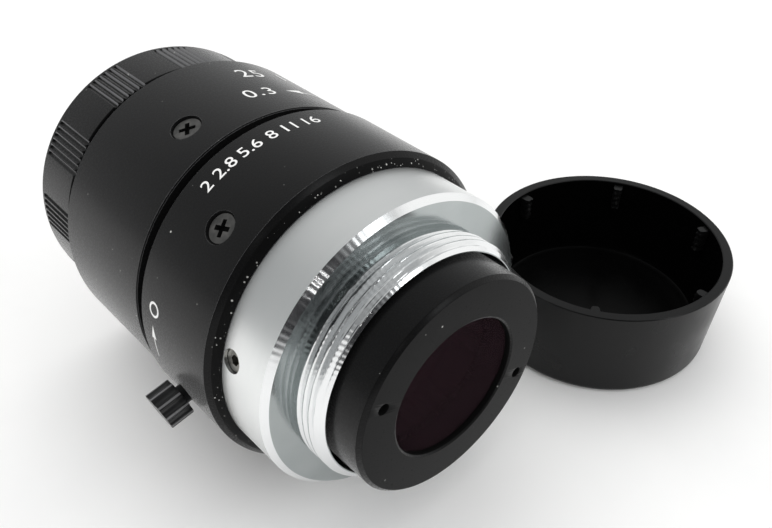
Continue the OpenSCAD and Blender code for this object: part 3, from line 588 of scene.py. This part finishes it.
# Lock screws: black thumb screws with round heads, fluted so that narrow ribs stand between the
# flutes. One in each ring clamps it to the barrel.
thumb_black, tree, shader, where = material("thumb_screw_black", (0.007, 0.007, 0.0075), 0.3)
bump(tree, shader, noise(tree, where, 4200.0), 0.000003)
THUMB_R, THUMB_H = 1.95, 2.4
FLUTE_TURN, FLUTE_CENTRE, FLUTE_R = 36, 2.175, 0.45


def from_flute(point):
    """The angle in degrees from the middle of the nearest flute."""
    turn = math.degrees(math.atan2(point.y, point.x))
    return (turn + FLUTE_TURN / 2) % FLUTE_TURN - FLUTE_TURN / 2


def thumb_screw(name, psi, along, base):
    """A thumb screw whose fluted head starts at a distance base from the axis."""
    bpy.ops.object.select_all(action="DESELECT")
    bpy.ops.mesh.primitive_cylinder_add(
        vertices=240, radius=THUMB_R * MM, depth=THUMB_H * MM,
        location=(0, 0, (base + THUMB_H / 2) * MM))
    head = bpy.context.object
    head.name = name
    bpy.ops.object.transform_apply(location=True, rotation=True, scale=True)
    for end in (1, -1):
        bpy.ops.object.mode_set(mode="EDIT")
        bpy.ops.mesh.select_mode(type="FACE")
        bpy.ops.mesh.select_all(action="DESELECT")
        bpy.ops.object.mode_set(mode="OBJECT")
        for face in head.data.polygons:
            face.select = face.normal.z * end > 0.9
        bpy.ops.object.mode_set(mode="EDIT")
        bpy.ops.mesh.inset(thickness=0.4 * MM)
        bpy.ops.mesh.inset(thickness=0.6 * MM)
        bpy.ops.object.mode_set(mode="OBJECT")
    bpy.ops.object.mode_set(mode="EDIT")
    bpy.ops.mesh.extrude_region_move(
        TRANSFORM_OT_translate={"value": (0, 0, (RING_BORE_R - base) * MM)})
    bpy.ops.object.mode_set(mode="OBJECT")
    for vertex in head.data.vertices:
        reach = math.hypot(vertex.co.x, vertex.co.y) / MM
        off = from_flute(vertex.co)
        side = FLUTE_CENTRE * math.sin(math.radians(off))
        if reach > THUMB_R - 0.05 and abs(side) < FLUTE_R:
            out = FLUTE_CENTRE * math.cos(math.radians(off))
            k = min(1, (out - math.sqrt(FLUTE_R ** 2 - side ** 2)) / reach)
            vertex.co.x *= k
            vertex.co.y *= k
    for look in (thumb_black, wear_and_highlight_black):
        head.data.materials.append(look)
    # The narrow ribs between the flutes take the lighter black: wear and painted highlight.
    for face in head.data.polygons:
        reach = math.hypot(face.center.x, face.center.y) / MM
        upright = abs(face.normal.z) < 0.3
        if reach > THUMB_R - 0.05 and upright and abs(from_flute(face.center)) > 15.5:
            face.material_index = 1
    outward(head, psi, along)
    soften(head, 0.06, (), angle=50)
    return head


iris_lock = thumb_screw("iris_lock_thumb_screw", IRIS_LOCK_PSI, IRIS_LOCK_X, 17.5)
finish(iris_lock, "iris_lock_screw", "iris_lock")
focus_lock = thumb_screw("focus_lock_thumb_screw", FOCUS_LOCK_PSI, FOCUS_LOCK_X, 17.2)
finish(focus_lock, "focus_lock_screw", "focus_lock")

# Rear cell: black anodised barrel behind the mount, with a chamfered face, two holes for a
# pin spanner, and a thin lip that holds the rear lens.
CELL_R, CELL_COLLAR_R, CELL_BORE_R = 11.47, 11.98, 9.15
CELL_FRONT, COLLAR_END, CELL_END = -7.5, -4.5, 7.0
SPANNER_R, SPANNER_CIRCLE, SPANNER_PSI = 0.575, 9.5, 65.4
cell = turned("rear_cell_turned", [
    (CELL_FRONT, CELL_BORE_R), (CELL_FRONT, CELL_COLLAR_R), (COLLAR_END, CELL_COLLAR_R),
    (COLLAR_END, CELL_R), (6.62, CELL_R), (CELL_END, 11.09), (CELL_END, 7.5), (6.85, 7.3),
    (6.3, 7.26), (6.3, CELL_BORE_R)])
for i in range(2):
    bpy.ops.object.select_all(action="DESELECT")
    turn = math.radians(SPANNER_PSI + 180 * i)
    across, up = -SPANNER_CIRCLE * MM * math.sin(turn), SPANNER_CIRCLE * MM * math.cos(turn)
    bpy.ops.mesh.primitive_cylinder_add(
        vertices=48, radius=SPANNER_R * MM, depth=1 * MM, rotation=(0, math.pi / 2, 0),
        location=(CELL_END * MM, across, up))
    bit = bpy.context.object
    bpy.ops.object.transform_apply(location=True, rotation=True, scale=True)
    cut_by(cell, bit)
soften(cell, 0.04, (anodised, painted_shade_black, cell_black))
# The spanner holes and the bore behind the lip are painted near black as shade. The flat face takes
# the cell's own black.
for face in cell.data.polygons:
    spot = face.center / MM
    reach = math.hypot(spot.y, spot.z)
    hole = abs(reach - SPANNER_CIRCLE) < 0.62 and 6.4 < spot.x < 6.93 and face.normal.x > -0.5
    if hole or (reach < 9.2 and spot.x < 6.8):
        face.material_index = 1
    elif face.normal.x > 0.9:
        face.material_index = 2
finish(cell, "rear_cell", "optical_unit")

# Glass elements: four polished lenses of optical glass, held in the lens barrel by spacers and
# threaded rings. They pass light straight, without reflection. A dim purple haze painted into their
# colour stands in for the coating's reflection.
glass = material("coated_glass", (0.45, 0.27, 0.33), 0.01)[0]
# Refraction index 1: no reflection and no bending. The purple colour is the painted reflection.
shader = glass.node_tree.nodes["Principled BSDF"]
shader.inputs["Transmission Weight"].default_value = 0.975
shader.inputs["IOR"].default_value = 1.0


def merged(name, node, looks):
    """A smooth copy of a solid, its loose triangles joined, with its materials."""
    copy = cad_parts[node].copy()
    copy.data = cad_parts[node].data.copy()
    bpy.context.collection.objects.link(copy)
    copy.parent = None
    copy.matrix_world.identity()
    copy.name = name
    copy.data.materials.clear()
    pick(copy)
    bpy.ops.object.mode_set(mode="EDIT")
    bpy.ops.mesh.select_all(action="SELECT")
    bpy.ops.mesh.remove_doubles(threshold=0.000001)
    bpy.ops.object.mode_set(mode="OBJECT")
    soften(copy, 0, looks, angle=24)
    return copy


for node in ("front_lens", "second_lens", "third_lens", "rear_lens"):
    finish(merged(node + "_glass", node, (glass,)), node, "optical_unit")

# The pieces inside the barrels: black anodised rings and tubes, duller than outside, the
# blackened iris, and two pieces of plain steel.
inner_black, tree, shader, where = material("inner_black", (0.002, 0.002, 0.002), 0.7, shine=0.0)
cloud = noise(tree, where, 300.0)
tree.links.new(colours(tree, cloud, (0.0012, 0.0012, 0.0012), (0.0028, 0.0026, 0.0026)),
               shader.inputs["Base Color"])
for node in ("lens_barrel", "front_retaining_ring", "front_spacer", "rear_spacer",
             "rear_retaining_ring"):
    finish(merged(node + "_turned", node, (inner_black,)), node, "optical_unit")
finish(merged("main_barrel_turned", "main_barrel", (anodised,)), "main_barrel", "mount_body")
for look, nodes in (
    (inner_black, ("iris_base", "iris_cam_ring", *("iris_blade_%d" % i for i in range(1, 7)))),
    (steel, ("guide_pin", "iris_snap_ring")),
):
    for node in nodes:
        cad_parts[node].data.materials.clear()
        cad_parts[node].data.materials.append(look)

# White marks: numbers, arrows and a small ring, printed in white paint on the focus barrel and the
# iris ring. Each is a flat shape laid round its barrel, a thin coat above the surface.
COAT, DIGIT_HEIGHT, BOLDER = 0.02, 0.69, 0.006
IRIS_LINE, SCREW_LINE, FRONT_LINE = -15.0, -23.3, -28.4
paint, tree, shader, where = material("white_paint", (0.85, 0.85, 0.84), 0.5)
tree.links.new(colours(tree, noise(tree, where, 2500.0), (0.80, 0.80, 0.79), (0.90, 0.90, 0.89)),
               shader.inputs["Base Color"])


def wrap(flat, psi, along, surface, turn=0.0):
    """Lays a flat mark on a barrel. Its right is a falling angle, and its top is towards the
    front."""
    for vertex in flat.data.vertices:
        u, v = vertex.co.x, vertex.co.y
        u, v = (u * math.cos(turn) - v * math.sin(turn), u * math.sin(turn) + v * math.cos(turn))
        reach = (surface + COAT) * MM
        angle = math.radians(psi) - u / reach
        vertex.co = (along * MM - v, -reach * math.sin(angle), reach * math.cos(angle))


def number(text, psi, along, surface, height, gap=1.0):
    """Figures of a height in mm, centred on an angle and a place along the axis."""
    bpy.ops.object.select_all(action="DESELECT")
    bpy.ops.object.text_add()
    mark = bpy.context.object
    mark.data.body = text
    mark.data.align_x = "CENTER"
    mark.data.align_y = "CENTER"
    mark.data.size = height / DIGIT_HEIGHT * MM
    mark.data.offset = BOLDER * MM
    mark.data.space_character = gap
    mark.data.resolution_u = 6
    bpy.ops.object.convert(target="MESH")
    wrap(mark, psi, along, surface)
    return mark


def arrow(psi, along, surface, length, thick, head, turn=0.0):
    """An arrow pointing to its right, with a slender head, a length and a thickness in mm."""
    bpy.ops.object.select_all(action="DESELECT")
    bpy.ops.mesh.primitive_circle_add(vertices=3, radius=MM, fill_type="NGON",
                                      rotation=(0, 0, -math.pi / 2))
    tip = bpy.context.object
    tip.scale = (head / 3.4, head / 1.5, 1)
    tip.location = ((length / 2 - head / 1.5) * MM, 0, 0)
    bpy.ops.object.transform_apply(location=True, rotation=True, scale=True)
    bpy.ops.object.mode_set(mode="EDIT")
    bpy.ops.mesh.select_all(action="SELECT")
    bpy.ops.mesh.subdivide(number_cuts=7)
    bpy.ops.object.mode_set(mode="OBJECT")
    bpy.ops.object.select_all(action="DESELECT")
    bpy.ops.mesh.primitive_grid_add(x_subdivisions=16, y_subdivisions=1, size=1)
    mark = bpy.context.object
    for vertex in mark.data.vertices:
        vertex.co.x = (vertex.co.x * (length - head) - head / 2) * MM
        vertex.co.y *= thick * MM
    tip.select_set(True)
    bpy.ops.object.join()
    wrap(mark, psi, along, surface, turn)
    return mark


def join(name, marks, body):
    """Makes the marks of one barrel a single piece in white paint that turns with its body."""
    pick(*marks)
    bpy.ops.object.join()
    marks[0].name = name
    marks[0].data.materials.clear()
    marks[0].data.materials.append(paint)
    finish(marks[0], None, body)


bpy.ops.object.select_all(action="DESELECT")
bpy.ops.mesh.primitive_circle_add(vertices=48, radius=0.78 * MM, fill_type="NGON")
ring_mark = bpy.context.object
bpy.ops.object.mode_set(mode="EDIT")
bpy.ops.mesh.select_all(action="SELECT")
bpy.ops.mesh.inset(thickness=0.24 * MM)
bpy.ops.mesh.delete(type="FACE")
bpy.ops.object.mode_set(mode="OBJECT")
wrap(ring_mark, 73.2, -14.95, IRIS_R)
join("iris_ring_marks", [
    ring_mark,
    *(number(text, psi, IRIS_LINE, IRIS_R, 1.35) for text, psi in (
        ("2", 31.5), ("2.8", 24.0), ("5.6", 14.5), ("8", 6.5), ("11", 0.0), ("16", -7.5))),
    arrow(85.5, -15.2, IRIS_R, 3.7, 0.16, 1.5),
], "iris_ring_body")
join("focus_barrel_marks", [
    number("0.3", -8.5, SCREW_LINE, FOCUS_R, 1.75, 1.15),
    arrow(-27.0, SCREW_LINE, FOCUS_R, 4.8, 0.2, 2.0, math.pi),
    number("25", -16.5, FRONT_LINE, FOCUS_R, 2.0, 1.1),
    number("1", -30.0, FRONT_LINE, FOCUS_R, 2.0),
], "focus_ring")

# Rear cap: moulded black plastic, open at the top, thinner at its rim, glossier inside and painted
# darker inside as shade. Short ribs inside the rim grip the mount, whose thread has scarred them.
# Its floor has a mould number.
skins = []
for name, dark, rough, shine in (
    ("moulded_black", 0.004, 0.29, 0.22), ("moulded_inside_painted_shade", 0.001, 0.2, 0.1),
):
    skin, tree, shader, where = material(name, (dark, dark, dark * 1.03), rough, shine=shine)
    wide = noise(tree, where, 210.0, 3.0)
    tree.links.new(spread(tree, wide, 0.3, 0.7, rough - 0.04, rough + 0.08),
                   shader.inputs["Roughness"])
    bump(tree, shader, noise(tree, where, 3600.0, 4.0), 0.000002)
    skins.append(skin)
CAP = (-0.7, 35.3, -16.95)
MIDDLE_R, FOOT_ROUND, CAP_TOP, CAP_FLOOR = 0.4, 0.9, 12.24, 1.23
RIBS, RIB_H, THREAD_MARK = 6, 3.0, 0.79
edge = [(FOOT_ROUND - FOOT_ROUND * math.cos(math.radians(a)),
         13.907 + FOOT_ROUND * math.sin(math.radians(a)))
        for a in (15, 30, 45, 60, 75, 90)]
cap = turned("rear_cap_moulded", [
    (0, MIDDLE_R), (0, 13.9), *edge, (12.14, 15.27), (CAP_TOP, 15.17), (CAP_TOP, 14.14),
    (12.14, 14.04), (2.13, 13.57), (1.5, 13.2), (CAP_FLOOR, 12.67), (CAP_FLOOR, MIDDLE_R),
], sides=240, about="Z", centre=CAP)
for face in cap.data.polygons:
    spot = face.center - Vector(CAP) * MM
    face.select = math.hypot(spot.x, spot.y) < (MIDDLE_R + 0.01) * MM
bpy.ops.object.mode_set(mode="EDIT")
bpy.ops.mesh.select_mode(type="FACE")
bpy.ops.mesh.delete(type="FACE")
bpy.ops.mesh.select_mode(type="EDGE")
bpy.ops.mesh.select_all(action="SELECT")
bpy.ops.mesh.region_to_loop()
bpy.ops.mesh.fill_holes(sides=0)
bpy.ops.object.mode_set(mode="OBJECT")
soften(cap, 0, skins, angle=30)
# The inner wall and floor take the darker inside plastic: painted shade.
for face in cap.data.polygons:
    spot = (face.center - Vector(CAP) * MM) / MM
    if spot.z > 1.2 and math.hypot(spot.x, spot.y) < 14.08 and spot.z < 12.1:
        face.material_index = 1
extras = []
for i in range(RIBS):
    bpy.ops.object.select_all(action="DESELECT")
    bpy.ops.mesh.primitive_cube_add(size=1, location=(0, 0, 0))
    rib = bpy.context.object
    bpy.ops.object.mode_set(mode="EDIT")
    bpy.ops.mesh.subdivide(number_cuts=13)
    bpy.ops.object.mode_set(mode="OBJECT")
    for vertex in rib.data.vertices:
        x, y, z = vertex.co
        scar = 0.22 * math.sin(z * RIB_H * 2 * math.pi / THREAD_MARK + i + 1.5 * y)
        scar += 0.1 * math.sin(9 * y + 17 * z + i)
        depth = (0.5 - x) * (1 - (2 * y) ** 6 * 0.35)
        reach = 14.2 - depth * (1.35 + 0.45 * scar) + (0.12 * scar if x > -0.49 else 0)
        vertex.co = (reach * MM, y * (1.0 + 0.3 * scar) * 1.1 * MM, (10.34 + z * RIB_H) * MM)
    rib.rotation_euler = (0, 0, math.radians(360 / RIBS * i))
    rib.location = Vector(CAP) * MM
    bpy.ops.object.transform_apply(location=True, rotation=True, scale=True)
    soften(rib, 0, (skins[0],), angle=60)
    extras.append(rib)
bpy.ops.object.select_all(action="DESELECT")
bpy.ops.object.text_add()
digit = bpy.context.object
digit.data.body = "4"
digit.data.align_x = digit.data.align_y = "CENTER"
digit.data.size = 3.2 * MM
digit.data.extrude = 0.05 * MM
bpy.ops.object.convert(target="MESH")
digit.rotation_euler = (0, 0, math.radians(35))
digit.location = Vector((CAP[0] - 4.0, CAP[1] - 5.0, CAP[2] + 1.27)) * MM
bpy.ops.object.transform_apply(location=True, rotation=True, scale=True)
digit.data.materials.clear()
soften(digit, 0, (skins[0],))
pick(cap, *extras, digit)
bpy.ops.object.join()
finish(cap, "rear_cap", "mount_body")
